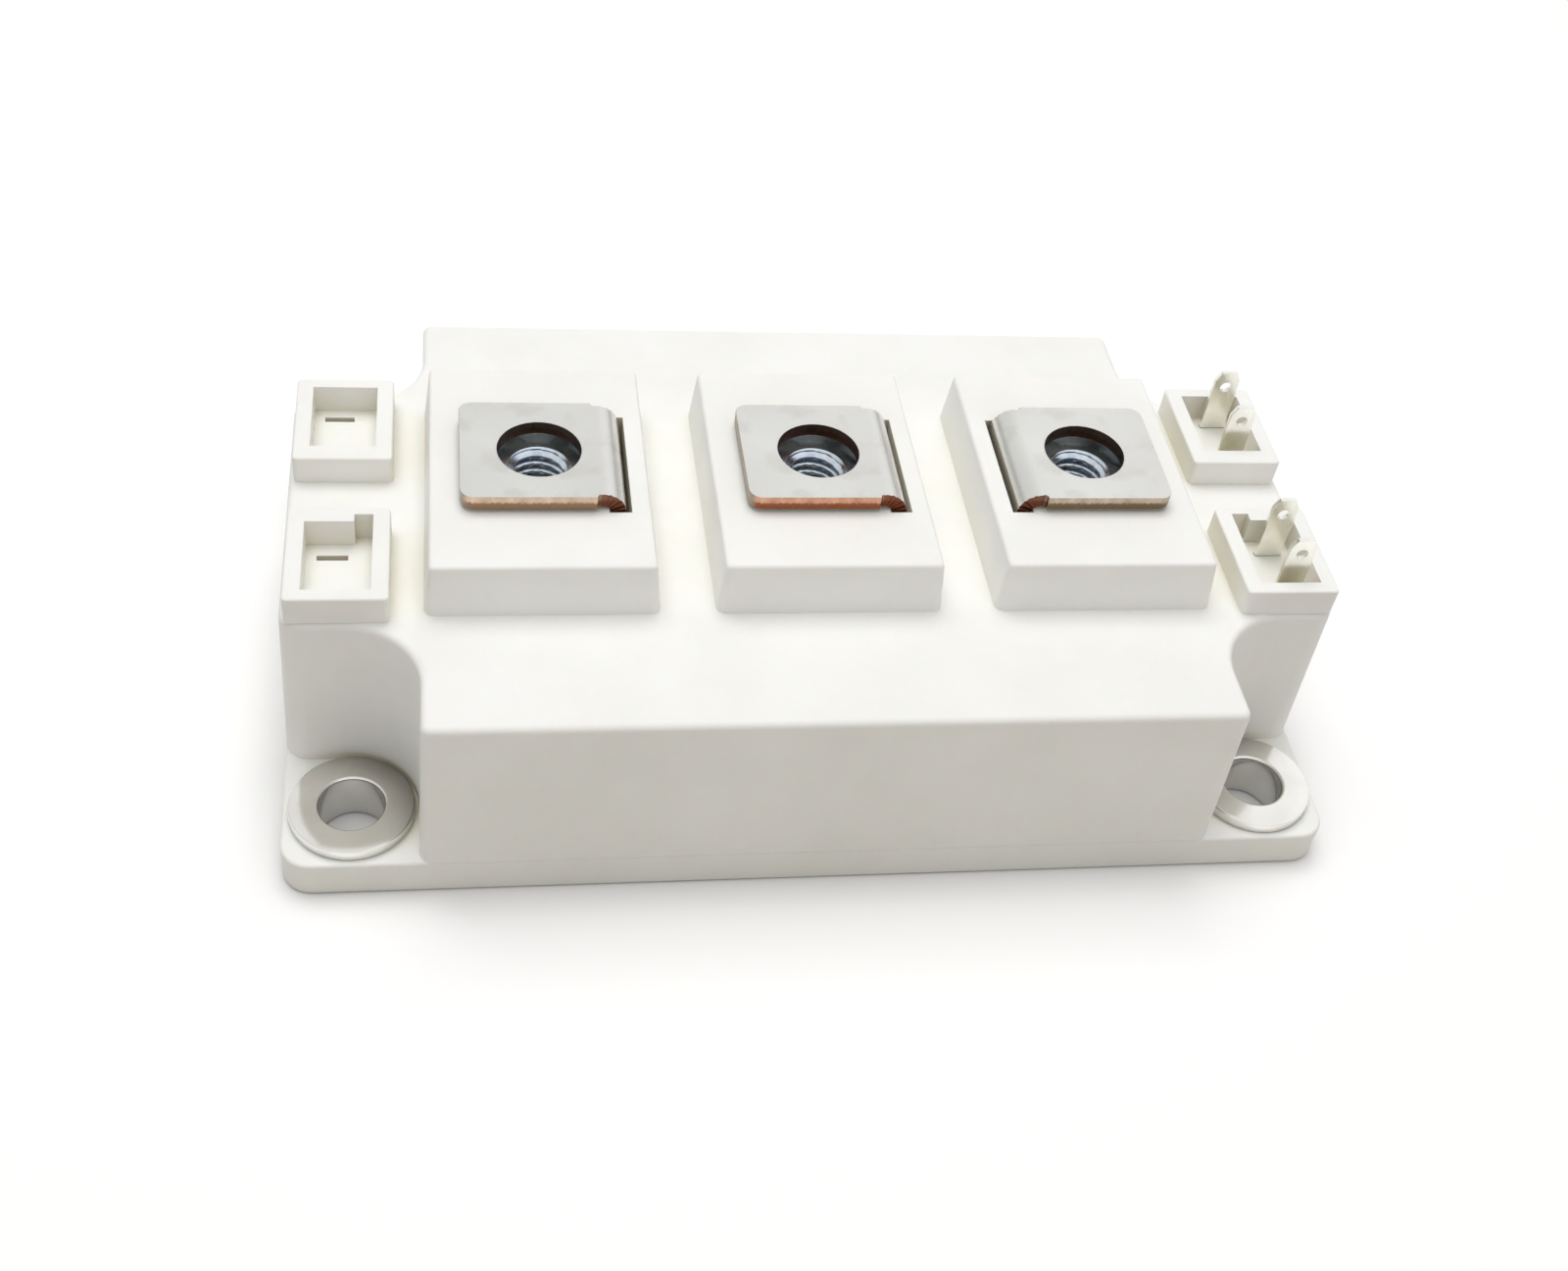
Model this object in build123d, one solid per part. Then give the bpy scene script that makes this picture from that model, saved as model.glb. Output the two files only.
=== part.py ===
from build123d import *
from math import cos, radians, tan
import os

# Half-bridge power module in the 62 mm package. Millimetres, +Z up.
# The origin is the centre of the baseplate's underside. +X runs along the long side towards the
# signal tabs, and -Y is the long side that faces the viewer.

# Footprint and mounting holes
length = 106.4
width = 61.4
hole_inset = 6.7
mount_bore_d = 6.4

# Housing: heights above the mounting plane
skirt_lift = 0.3
flange_z = 4.3
shelf_z = 22.8
pad_z = 28.5
flange_corner_r = 3.0
body_draft = 1.5
edge_round = 0.7
flange_edge_round = 0.35

# Housing: the corner pockets that let a screwdriver reach the mounting screws
pocket_depth_x = 13.2
pocket_depth_y = 13.5
pocket_inner_r = 7.0
pocket_outer_r = 2.4
front_corner_r = 1.4

# Housing: wall and roof of the hollow inside
wall = 2.6
roof = 2.2

# Terminal pads, the three raised towers
terminal_pitch = 28.0
terminal_fold_sides = {"left": 1, "middle": 1, "right": -1}
terminal_foot_sides = {"left": -1, "middle": 1, "right": -1}
pad_length_x = 21.4
pad_width_y = 30.0
pad_draft = 6.0
pad_corner_r = 1.0
pad_edge_round = 0.4

# Power terminals, folded copper straps
strap_t = 1.5
strap_gap = 0.4
strap_free_x = 7.8
strap_fold_x = 8.3
strap_width_y = 14.4
strap_leg_y = 13.6
strap_hole_d = 8.3
strap_corner_r = 1.3
strap_bend_r = 0.9
strap_edge_round = 0.2
strap_foot = {"left": 6.0, "middle": 3.0, "right": 6.0}
slot_side_gap = 0.5
slot_inner_gap = 0.2
slot_end_gap = 0.45

# M6 hexagon nuts and the screw wells below them
nut_flats = 10.0
nut_height = 5.0
nut_bore_d = 5.0
nut_chamfer = 0.6
nut_corner_drop = 0.35
nut_recess = 0.5
nut_clearance = 0.15
well_d = 7.0
well_depth = 5.5
well_wall = 1.5

# Signal tabs and the sockets round them
tab_end_gap = 5.2
tab_wall_gap = 2.9
tab_pitch = 6.0
tab_width = 2.8
tab_t = 0.5
tab_top_z = 30.5
tab_tip = 0.55
tab_hole_d = 1.2
tab_hole_drop = 1.9
tab_tail = 3.4
tab_fit = 0.05
socket_height = 3.1
socket_end_gap = 1.0
socket_side_gap = 0.8
socket_length_x = 9.8
socket_width_y = 12.8
socket_wall_x = 1.65
socket_near_wall = 2.0
socket_far_wall = 1.4
socket_round = 0.5
socket_edge_round = 0.25
notch_width = 1.8
notch_depth = 1.0
slit_width = 3.0
slit_t = 0.7

# Mounting collars, hollow rivets
collar_d = 12.2
collar_t = 1.2
collar_tube_d = 8.4
collar_fit = 0.1
collar_mouth = 0.35
collar_round = 0.2
collar_end_gap = 0.3

# Baseplate and sealing bead
plate_t = 3.0
plate_side_gap = 0.15
skirt_wall = 0.95
plate_corner_r = 2.0
bead_t = 0.2
bead_width = 1.4

# Substrates
back_copper_t = 0.3
ceramic_t = 0.4
circuit_copper_t = 0.3
substrate_end_gap = 1.9
substrate_side_gap = 2.1
substrate_mid_gap = 1.5
substrate_rim = 0.6
copper_gap = 0.8
gate_strip = 1.8
collector_plane = 19.8

# Chips and wires
chip_foot_gap = 4.2
transistor_size = 12.0
transistor_t = 0.2
transistor_inset = 0.6
diode_length_x = 6.4
diode_width_y = 10.0
diode_t = 0.3
diode_inset = 0.4
bond_wire = 0.4
bond_count = 5
bond_pitch = 1.7
bond_rise = 2.4
bridge_width = 3.0
bridge_t = 0.8
bridge_z = 8.0
bridge_leg_gap = 0.6
bridge_foot = 3.2
lead_d = 1.3
lead_bend_r = 1.5
lead_run_z = 14.0
gel_top_z = 11.5

# Places worked out from the sizes above
pocket_side_x = length / 2 - pocket_depth_x
pocket_end_y = width / 2 - pocket_depth_y
socket_far_x = length / 2 - socket_end_gap
socket_near_x = socket_far_x - socket_length_x
socket_far_y = pocket_end_y - socket_side_gap
socket_near_y = socket_far_y - socket_width_y
tab_x = length / 2 - tab_end_gap
tab_far_y = socket_far_y - tab_wall_gap
tab_near_y = tab_far_y - tab_pitch
terminal_z = pad_z + strap_gap + strap_t
roof_z = shelf_z - roof
substrate_z = plate_t + back_copper_t + ceramic_t
circuit_z = substrate_z + circuit_copper_t
nut_floor_z = pad_z - nut_recess - nut_height
well_floor_z = nut_floor_z - well_depth
rebate_z = plate_t + bead_t
substrate_length_x = pocket_side_x - wall - substrate_end_gap - substrate_mid_gap
substrate_width_y = width - 2 * (wall + substrate_side_gap)
substrate_centre_x = substrate_mid_gap + substrate_length_x / 2
chip_row_y = strap_leg_y / 2 + chip_foot_gap + transistor_size / 2
bridge_y = strap_leg_y / 2 + bridge_leg_gap + bridge_width / 2
plate_length = length - 2 * (skirt_wall + plate_side_gap)
plate_width = width - 2 * (skirt_wall + plate_side_gap)
terminal_x = {"left": -terminal_pitch, "middle": 0.0, "right": terminal_pitch}

above_z = 2 * tab_top_z

# Small overlap of solids that are joined
join = 0.01


def box_between(x, y, z):
    """A block between three pairs of limits."""
    size = [abs(pair[1] - pair[0]) for pair in (x, y, z)]
    low = [min(pair) for pair in (x, y, z)]
    return Pos(*low) * Box(*size, align=(Align.MIN, Align.MIN, Align.MIN))


def block(plan, z0, z1, taper=0.0):
    """Extrude a flat outline from z0 up to z1, narrower at the top by the taper angle."""
    return Pos(0, 0, z0) * extrude(plan, amount=z1 - z0, taper=taper)


def rod(diameter, z0, z1):
    """An upright cylinder between two heights."""
    return Pos(0, 0, z0) * Cylinder(diameter / 2, z1 - z0, align=(Align.CENTER, Align.CENTER, Align.MIN))


def corner_places():
    """The four mounting hole centres, by name."""
    places = {}
    for y_name, y_side in (("front", -1), ("rear", 1)):
        for x_name, x_side in (("left", -1), ("right", 1)):
            x = x_side * (length / 2 - hole_inset)
            y = y_side * (width / 2 - hole_inset)
            places[y_name + "_" + x_name] = (x, y)
    return places


def cross_outline(inset, inner_r, outer_r, front_r):
    """Plan of the body between the corner pockets: a cross with one S-curve at each corner."""
    side_x = pocket_side_x - inset
    end_y = pocket_end_y - inset
    half_length = length / 2 - inset
    half_width = width / 2 - inset
    plan = Rectangle(2 * side_x, 2 * half_width) + Rectangle(2 * half_length, 2 * end_y)
    corners = plan.vertices()
    inner = [v for v in corners if abs(abs(v.X) - side_x) < join and abs(abs(v.Y) - end_y) < join]
    plan = fillet(inner, inner_r)
    ends = [v for v in plan.vertices() if abs(abs(v.X) - half_length) < join]
    plan = fillet(ends, outer_r)
    fronts = [v for v in plan.vertices() if abs(abs(v.Y) - half_width) < join]
    return fillet(fronts, front_r)


def hollow_outline(grow):
    """Plan of the hollow inside the body, grown outwards by the given amount."""
    inset = wall - grow
    return cross_outline(inset, pocket_inner_r + inset, front_corner_r, front_corner_r)


def flange():
    """The low plate round the body that the mounting screws clamp."""
    plate = block(RectangleRounded(length, width, flange_corner_r), skirt_lift, flange_z)
    return fillet(plate.edges().group_by(Axis.Z)[-1], flange_edge_round)


def body():
    """The upper body up to the shelf, with soft top edges."""
    plan = cross_outline(0, pocket_inner_r, pocket_outer_r, front_corner_r)
    solid = block(plan, flange_z - join, shelf_z, body_draft)
    return fillet(solid.edges().group_by(Axis.Z)[-1], edge_round)


def pad_tower():
    """One raised terminal pad, centred on its terminal."""
    foot = 2 * (pad_z - shelf_z) * tan(radians(pad_draft))
    plan = RectangleRounded(pad_length_x + foot, pad_width_y + foot, pad_corner_r)
    tower = block(plan, shelf_z, pad_z, pad_draft)
    return fillet(tower.edges().group_by(Axis.Z)[-1], pad_edge_round)


def socket_wall(x_side, y_side, notched):
    """One socket: a low rectangular wall on the shelf, open at the top."""
    size_x = socket_far_x - socket_near_x
    size_y = socket_far_y - socket_near_y
    mid_x = (socket_far_x + socket_near_x) / 2
    mid_y = (socket_far_y + socket_near_y) / 2
    outer = Pos(mid_x, mid_y) * RectangleRounded(size_x, size_y, socket_round)
    ring = block(outer, shelf_z, shelf_z + socket_height)
    ring = fillet(ring.edges().group_by(Axis.Z)[-1], socket_edge_round)
    inner_x = (socket_near_x + socket_wall_x, socket_far_x - socket_wall_x)
    inner_y = (socket_near_y + socket_near_wall, socket_far_y - socket_far_wall)
    ring -= box_between(inner_x, inner_y, (shelf_z, above_z))
    if notched:
        notch_x = (inner_x[0], inner_x[0] + notch_width)
        ring -= box_between(notch_x, (inner_y[0] - notch_depth, inner_y[0]), (shelf_z, above_z))
    if x_side < 0:
        ring = mirror(ring, about=Plane.YZ)
    if y_side < 0:
        ring = mirror(ring, about=Plane.XZ)
    return ring


def strap_slot(side):
    """The opening in a pad that the folded leg of a terminal goes down through."""
    near = strap_fold_x - strap_t - slot_inner_gap
    far = strap_fold_x + slot_side_gap
    half = strap_leg_y / 2 + slot_end_gap
    return box_between((side * near, side * far), (-half, half), (roof_z - join, above_z))


def nut_pocket():
    """The hexagon pocket and the screw well below it."""
    hexagon = RegularPolygon((nut_flats / 2 + nut_clearance), 6, major_radius=False)
    return block(hexagon, nut_floor_z, above_z) + rod(well_d, well_floor_z, above_z)


def collar_cut():
    """The hole in flange and baseplate that a collar's tube sits in."""
    return rod(collar_tube_d + 2 * collar_fit, -join, above_z)


def housing():
    """The whole moulded shell."""
    shell = flange() + body()
    for x in terminal_x.values():
        shell += Pos(x, 0, 0) * pad_tower()
    for x_side in (-1, 1):
        for y_side in (-1, 1):
            shell += socket_wall(x_side, y_side, y_side < 0)
    shell -= block(hollow_outline(0), rebate_z - join, roof_z)
    for x in terminal_x.values():
        shell += Pos(x, 0, 0) * rod(well_d + 2 * well_wall, well_floor_z - well_wall, roof_z + join)
    for name, x in terminal_x.items():
        shell -= Pos(x, 0, 0) * nut_pocket()
        shell -= Pos(x, 0, 0) * strap_slot(terminal_fold_sides[name])
    rebate_r = plate_corner_r + plate_side_gap
    rebate = RectangleRounded(length - 2 * skirt_wall, width - 2 * skirt_wall, rebate_r)
    shell -= block(rebate, -join, rebate_z)
    for x, y in corner_places().values():
        shell -= Pos(x, y, 0) * collar_cut()
    for y in tab_rows():
        slit = Rectangle(tab_width + 2 * tab_fit, tab_t + 2 * tab_fit)
        shell -= Pos(tab_x, y, 0) * block(slit, roof_z - join, above_z)
    for y in (tab_far_y, -tab_near_y):
        shell -= Pos(-tab_x, y, 0) * block(Rectangle(slit_width, slit_t), roof_z - join, shelf_z + join)
    return shell


def tab_rows():
    """The four signal tab positions along Y, rear to front."""
    return (tab_far_y, tab_near_y, -tab_near_y, -tab_far_y)


def baseplate():
    """The flat metal plate that carries the substrates and meets the heat sink."""
    plate = block(RectangleRounded(plate_length, plate_width, plate_corner_r), 0, plate_t)
    for x, y in corner_places().values():
        plate -= Pos(x, y, 0) * collar_cut()
    return plate


def sealing_bead():
    """The glue line between baseplate and housing, all round the hollow inside."""
    return block(hollow_outline(bead_width) - hollow_outline(0), plate_t, rebate_z)


def collar():
    """A hollow rivet: a broad ring on the flange and a tube down into the baseplate."""
    ring = rod(collar_d, flange_z, flange_z + collar_t)
    ring = fillet(ring.edges().group_by(Axis.Z)[-1], collar_round)
    solid = ring + rod(collar_tube_d, collar_end_gap, flange_z)
    solid -= rod(mount_bore_d, -join, above_z)
    mouth = solid.edges().group_by(Axis.Z)[-1].sort_by(SortBy.RADIUS)[0]
    return chamfer(mouth, collar_mouth)


def nut():
    """A hexagon nut with turned-down corners, standing on the pocket's floor."""
    nut_top_z = nut_floor_z + nut_height
    hexagon = block(RegularPolygon(nut_flats / 2, 6, major_radius=False), nut_floor_z, nut_top_z)
    across_corners = nut_flats / cos(radians(30))
    turned = rod(across_corners, nut_floor_z, nut_top_z)
    turned = chamfer(turned.edges().filter_by(GeomType.CIRCLE), nut_corner_drop, nut_chamfer)
    solid = (hexagon & turned) - rod(nut_bore_d, 0, above_z)
    rims = [e for e in solid.edges().filter_by(GeomType.CIRCLE) if abs(e.radius - nut_bore_d / 2) < join]
    return chamfer(rims, nut_chamfer)


def strap(foot_side, foot_length):
    """A power terminal: flat top, fold, leg and soldered foot, folded at its +X side."""
    top_z = terminal_z
    under_z = top_z - strap_t
    leg_in = strap_fold_x - strap_t
    bend_out = strap_bend_r + strap_t
    flat_end = strap_fold_x - bend_out
    half = strap_width_y / 2
    plate = Pos((flat_end - strap_free_x) / 2, 0, 0) * Rectangle(flat_end + strap_free_x, 2 * half)
    free_corners = [v for v in plate.vertices() if v.X < 0]
    flat = block(fillet(free_corners, strap_corner_r), under_z, top_z)
    rim = flat.edges().group_by(Axis.Z)[-1].filter_by(lambda edge: (edge @ 0.5).X < flat_end - join)
    flat = fillet(rim, strap_edge_round)
    if foot_side < 0:
        foot_tip = leg_in - foot_length
        near_z = circuit_z + strap_t
        far_z = circuit_z
    else:
        foot_tip = strap_fold_x + foot_length
        near_z = circuit_z
        far_z = circuit_z + strap_t
    with BuildPart() as folded:
        with BuildSketch(Plane.XZ.offset(-strap_leg_y / 2)):
            with BuildLine():
                Polyline((flat_end, top_z), (flat_end, under_z))
                RadiusArc((flat_end, under_z), (leg_in, under_z - strap_bend_r), strap_bend_r)
                Polyline((leg_in, under_z - strap_bend_r), (leg_in, near_z), (foot_tip, near_z))
                Polyline((foot_tip, near_z), (foot_tip, far_z), (strap_fold_x, far_z))
                Line((strap_fold_x, far_z), (strap_fold_x, top_z - bend_out))
                RadiusArc((strap_fold_x, top_z - bend_out), (flat_end, top_z), -bend_out)
            make_face()
        extrude(amount=strap_leg_y)
    solid = flat + folded.part
    return solid - rod(strap_hole_d, 0, above_z)


def terminal(name):
    """A strap in its place: the right one is folded on its other side."""
    shape = strap(terminal_foot_sides[name], strap_foot[name])
    if terminal_fold_sides[name] < 0:
        shape = mirror(shape, about=Plane.YZ)
    return Pos(terminal_x[name], 0, 0) * shape


def signal_tab():
    """A flat blade with a cropped tip and a locating hole, seen along Y."""
    half = tab_width / 2
    bottom_z = roof_z - tab_tail
    tip = Polyline(
        (-half, bottom_z),
        (half, bottom_z),
        (half, tab_top_z - 2 * tab_tip),
        (half - tab_tip, tab_top_z),
        (tab_tip - half, tab_top_z),
        (-half, tab_top_z - 2 * tab_tip),
        close=True,
    )
    hole = Pos(0, tab_top_z - tab_hole_drop) * Circle(tab_hole_d / 2)
    blade = make_face(Plane.XZ * tip) - Plane.XZ * hole
    return extrude(blade, amount=tab_t / 2, both=True)


def substrate_layers(side):
    """Back copper, ceramic and circuit copper of one substrate."""
    centre = side * substrate_centre_x
    rim_x = substrate_length_x / 2 - substrate_rim
    rim_y = substrate_width_y / 2 - substrate_rim
    back_z = plate_t + back_copper_t
    back = Pos(centre, 0, 0) * block(Rectangle(2 * rim_x, 2 * rim_y), plate_t, back_z)
    tile = Rectangle(substrate_length_x, substrate_width_y)
    ceramic = Pos(centre, 0, 0) * block(tile, back_z, substrate_z)
    islands = []
    for near, far in circuit_strips():
        span = (centre + side * near, centre + side * far)
        islands.append(box_between(span, (-rim_y, rim_y), (substrate_z, circuit_z)))
    return back, ceramic, Compound(children=islands)


def circuit_strips():
    """Gate strip, collector plane and emitter strip, measured along X away from the middle."""
    rim_x = substrate_length_x / 2 - substrate_rim
    gate = (rim_x - gate_strip, rim_x)
    collector = (gate[0] - copper_gap - collector_plane, gate[0] - copper_gap)
    emitter = (-rim_x, collector[0] - copper_gap)
    return gate, collector, emitter


def chip_places():
    """Distances along X from a substrate's middle: transistor, diode and emitter strip."""
    gate, collector, emitter = circuit_strips()
    transistor = collector[1] - transistor_inset - transistor_size / 2
    diode = collector[0] + diode_inset + diode_length_x / 2
    return transistor, diode, (emitter[0] + emitter[1]) / 2


def chips(side, offset, size_x, size_y, height):
    """A pair of chips, one in each row."""
    centre = side * (substrate_centre_x + offset)
    pair = []
    for row in (-1, 1):
        tile = Pos(centre, row * chip_row_y, 0) * Rectangle(size_x, size_y)
        pair.append(block(tile, circuit_z, circuit_z + height))
    return Compound(children=pair)


def bond_loop(x0, x1, z0, z1, y):
    """One bond wire between two feet, drawn as a flat loop of square section."""
    crest = max(z0, z1) + bond_rise
    third = (x1 - x0) / 3
    foot = bond_wire if x1 > x0 else -bond_wire
    over = Polyline((x0, z0), (x0 + third, crest), (x1 - third, crest), (x1, z1), (x1 + foot, z1),
                    (x1 - third + foot, crest + bond_wire), (x0 + third - foot, crest + bond_wire),
                    (x0 - foot, z0), close=True)
    return Pos(0, y, 0) * extrude(make_face(Plane.XZ * over), amount=bond_wire / 2, both=True)


def bond_wires(side):
    """Loops from transistor to diode and from diode to emitter strip, in both chip rows."""
    transistor, diode, strip = (side * (substrate_centre_x + u) for u in chip_places())
    loops = []
    for row in (-1, 1):
        for i in range(bond_count):
            y = row * chip_row_y + (i - (bond_count - 1) / 2) * bond_pitch
            start = transistor - side * transistor_size / 4
            land = diode + side * diode_length_x / 4
            leave = diode - side * diode_length_x / 4
            top = circuit_z + transistor_t
            loops.append(bond_loop(start, land, top, circuit_z + diode_t, y))
            loops.append(bond_loop(leave, strip, circuit_z + diode_t, circuit_z, y))
    return Compound(children=loops)


def link_bridges():
    """Two copper clips that join the left emitter strip to the right collector plane."""
    gate, collector, emitter = circuit_strips()
    left_foot = -(substrate_centre_x + emitter[0]) - bridge_foot
    right_foot = substrate_centre_x + collector[0] + copper_gap
    under = bridge_z - bridge_t
    foot_top = circuit_z + bridge_t
    clips = []
    outline = Polyline(
        (left_foot, circuit_z),
        (left_foot + bridge_foot, circuit_z),
        (left_foot + bridge_foot, under),
        (right_foot, under),
        (right_foot, circuit_z),
        (right_foot + bridge_foot, circuit_z),
        (right_foot + bridge_foot, foot_top),
        (right_foot + bridge_t, foot_top),
        (right_foot + bridge_t, bridge_z),
        (left_foot + bridge_foot - bridge_t, bridge_z),
        (left_foot + bridge_foot - bridge_t, foot_top),
        (left_foot, foot_top),
        close=True,
    )
    for row in (-1, 1):
        clip = extrude(make_face(Plane.XZ * outline), amount=bridge_width / 2, both=True)
        clips.append(Pos(0, row * bridge_y, 0) * clip)
    return Compound(children=clips)


def signal_wire(row, target_x):
    """An insulated wire from a tab's lower end, along its row, down to a gate strip."""
    start_z = roof_z - tab_tail
    path = FilletPolyline(
        (tab_x, row, start_z),
        (tab_x, row, lead_run_z),
        (target_x, row, lead_run_z),
        (target_x, row, circuit_z),
        radius=lead_bend_r,
    )
    section = Plane(origin=(tab_x, row, start_z), z_dir=(0, 0, -1)) * Circle(lead_d / 2)
    return sweep(section, path=path)


def gel(inner_pieces):
    """The soft filling over the substrates, cut back round all that stands in it."""
    fill = block(hollow_outline(0), plate_t, gel_top_z)
    for piece in inner_pieces:
        for solid in piece.solids():
            fill -= solid
    return fill


def save(shape, name):
    """Write one piece to its own file."""
    export_step(shape, "parts/" + name + ".step")


pieces = {"housing": housing(), "baseplate": baseplate(), "sealing_bead": sealing_bead()}
for corner, (x, y) in corner_places().items():
    pieces["collar_" + corner] = Pos(x, y, 0) * collar()
for terminal_name, x in terminal_x.items():
    pieces["terminal_" + terminal_name] = terminal(terminal_name)
    pieces["nut_" + terminal_name] = Pos(x, 0, 0) * nut()
for number, y in enumerate(tab_rows(), start=1):
    pieces["signal_tab_" + str(number)] = Pos(tab_x, y, 0) * signal_tab()

for side_name, side in (("left", -1), ("right", 1)):
    back, ceramic, circuit = substrate_layers(side)
    transistor_u, diode_u, strip_u = chip_places()
    pieces["back_copper_" + side_name] = back
    pieces["ceramic_" + side_name] = ceramic
    pieces["circuit_copper_" + side_name] = circuit
    pieces["transistor_chips_" + side_name] = chips(
        side, transistor_u, transistor_size, transistor_size, transistor_t
    )
    pieces["diode_chips_" + side_name] = chips(side, diode_u, diode_length_x, diode_width_y, diode_t)
    pieces["bond_wires_" + side_name] = bond_wires(side)
pieces["link_bridges"] = link_bridges()

gate_span = circuit_strips()[0]
gate_x = substrate_centre_x + (gate_span[0] + gate_span[1]) / 2
for number, y in enumerate(tab_rows(), start=1):
    target = -gate_x if abs(y) > tab_near_y else gate_x
    pieces["signal_wire_" + str(number)] = signal_wire(y, target)

outside = ("housing", "baseplate", "sealing_bead", "collar", "nut", "signal_tab")
pieces["gel_fill"] = gel([shape for name, shape in pieces.items() if not name.startswith(outside)])

os.makedirs("parts", exist_ok=True)
for name, shape in pieces.items():
    save(shape, name)
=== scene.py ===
import math

import bpy
from mathutils import Matrix, Vector


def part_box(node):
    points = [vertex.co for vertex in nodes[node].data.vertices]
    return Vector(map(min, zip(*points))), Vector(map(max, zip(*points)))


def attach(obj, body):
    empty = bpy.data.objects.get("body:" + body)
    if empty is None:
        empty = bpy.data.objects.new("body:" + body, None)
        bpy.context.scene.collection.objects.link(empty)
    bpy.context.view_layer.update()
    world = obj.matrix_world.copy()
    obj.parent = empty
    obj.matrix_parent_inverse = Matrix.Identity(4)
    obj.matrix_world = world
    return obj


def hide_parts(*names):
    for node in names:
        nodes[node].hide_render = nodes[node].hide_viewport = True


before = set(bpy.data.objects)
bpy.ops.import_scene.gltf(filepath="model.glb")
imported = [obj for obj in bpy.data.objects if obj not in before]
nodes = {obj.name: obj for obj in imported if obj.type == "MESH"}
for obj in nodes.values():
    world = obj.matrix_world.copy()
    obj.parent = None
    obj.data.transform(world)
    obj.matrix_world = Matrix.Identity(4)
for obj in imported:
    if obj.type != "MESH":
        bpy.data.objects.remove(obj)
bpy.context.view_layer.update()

mm = 0.001
noiseRange = (0.3, 0.7)  # about as far as a noise goes
noiseDetail = 3.0
markDetail = 4.0
occlusionSamples = 8
print("frame loaded:", len(nodes), "pieces")


def linearColour(code):
    channels = [int(code[i:i + 2], 16) / 255 for i in (0, 2, 4)]
    linear = [c / 12.92 if c <= 0.04045 else ((c + 0.055) / 1.055) ** 2.4 for c in channels]
    return (*linear, 1.0)


def addNode(tree, kind, settings):
    # a setting is a plain value, a hex colour, or the output of another node, which then feeds that socket
    node = tree.nodes.new(kind)
    for name, value in settings.items():
        if isinstance(value, bpy.types.NodeSocket):
            tree.links.new(value, node.inputs[name])
        elif isinstance(name, int) or name in node.inputs:
            socket = node.inputs[name]
            socket.default_value = linearColour(value) if socket.type == "RGBA" else value
        else:
            setattr(node, name, value)
    return node


def emptyTree(owner):
    # a material's or the world's node tree, with nothing in it yet
    owner.use_nodes = True
    owner.node_tree.nodes.clear()
    return owner.node_tree


def newMaterial(name, surface):
    material = bpy.data.materials.new(name)
    tree = emptyTree(material)
    shader = addNode(tree, "ShaderNodeBsdfPrincipled", surface)
    addNode(tree, "ShaderNodeOutputMaterial", {"Surface": shader.outputs[0]})
    return material, tree, shader


def pattern(tree, size, detail=noiseDetail, stretch=(1, 1, 1)):
    # noise fixed to the piece, with patches about that many millimetres across, or stretched into marks
    where = addNode(tree, "ShaderNodeTexCoord", {}).outputs["Object"]
    stretched = addNode(tree, "ShaderNodeMapping", {"Vector": where, "Scale": stretch}).outputs[0]
    settings = {"Vector": stretched, "Scale": 1 / (size * mm), "Detail": detail}
    return addNode(tree, "ShaderNodeTexNoise", settings).outputs["Fac"]


def overlay(tree, tone, code, mask, share, reach=noiseRange):
    # lays a colour over the tone: none where the mask is at reach's start, that share of it from its end on
    start, end = reach
    settings = {"Value": mask, "From Min": start, "From Max": end, "To Max": share}
    amount = addNode(tree, "ShaderNodeMapRange", settings).outputs[0]
    return addNode(tree, "ShaderNodeMix", {"data_type": "RGBA", 0: amount, 6: tone, 7: code}).outputs[2]


def finish(tree, shader, tone, sheen, relief, look):
    # gives the shader its tone, a roughness that follows one pattern and a relief that follows another
    start, end = noiseRange
    smooth, rough = look["roughness"]
    settings = {"Value": sheen, "From Min": start, "From Max": end, "To Min": smooth, "To Max": rough}
    roughness = addNode(tree, "ShaderNodeMapRange", settings).outputs[0]
    settings = {"Height": relief, "Distance": look["reliefDepth"] * mm}
    normal = addNode(tree, "ShaderNodeBump", settings).outputs[0]
    tree.links.new(tone, shader.inputs["Base Color"])
    tree.links.new(roughness, shader.inputs["Roughness"])
    tree.links.new(normal, shader.inputs["Normal"])


def paintWallShade(tree, tone, look):
    # painted shade, standing for shade and the dark walls' reflection, where other surfaces stand close, and
    # less of it on upright faces
    normal = addNode(tree, "ShaderNodeTexCoord", {}).outputs["Normal"]
    upward = addNode(tree, "ShaderNodeSeparateXYZ", {0: normal}).outputs["Z"]
    upright = look["wallShadeShare"] * look["uprightShare"]
    settings = {"Value": upward, "To Min": upright, "To Max": look["wallShadeShare"]}
    share = addNode(tree, "ShaderNodeMapRange", settings).outputs[0]
    settings = {"Distance": look["wallShadeReach"] * mm, "samples": occlusionSamples}
    openness = addNode(tree, "ShaderNodeAmbientOcclusion", settings).outputs["AO"]
    return overlay(tree, tone, look["wallShade"], openness, share, look["wallShadeRange"])


def metal(name, look):
    # a plated or bare metal: cloudy tone, fine marks along one way, and a little relief from the marks
    material, tree, shader = newMaterial(name, {"Metallic": 1.0})
    marks = pattern(tree, look["reliefSize"], markDetail, look["stretch"])
    tone = overlay(tree, look["light"], look["dark"], pattern(tree, look["cloudSize"]), 1)
    if "worn" in look:
        patches = pattern(tree, look["wornSize"])
        tone = overlay(tree, tone, look["worn"], patches, look["wornShare"], look["wornRange"])
    # painted shade near other surfaces, for a look that asks for it
    if "wallShade" in look:
        tone = paintWallShade(tree, tone, look)
    finish(tree, shader, tone, marks, marks, look)
    return material


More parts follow.
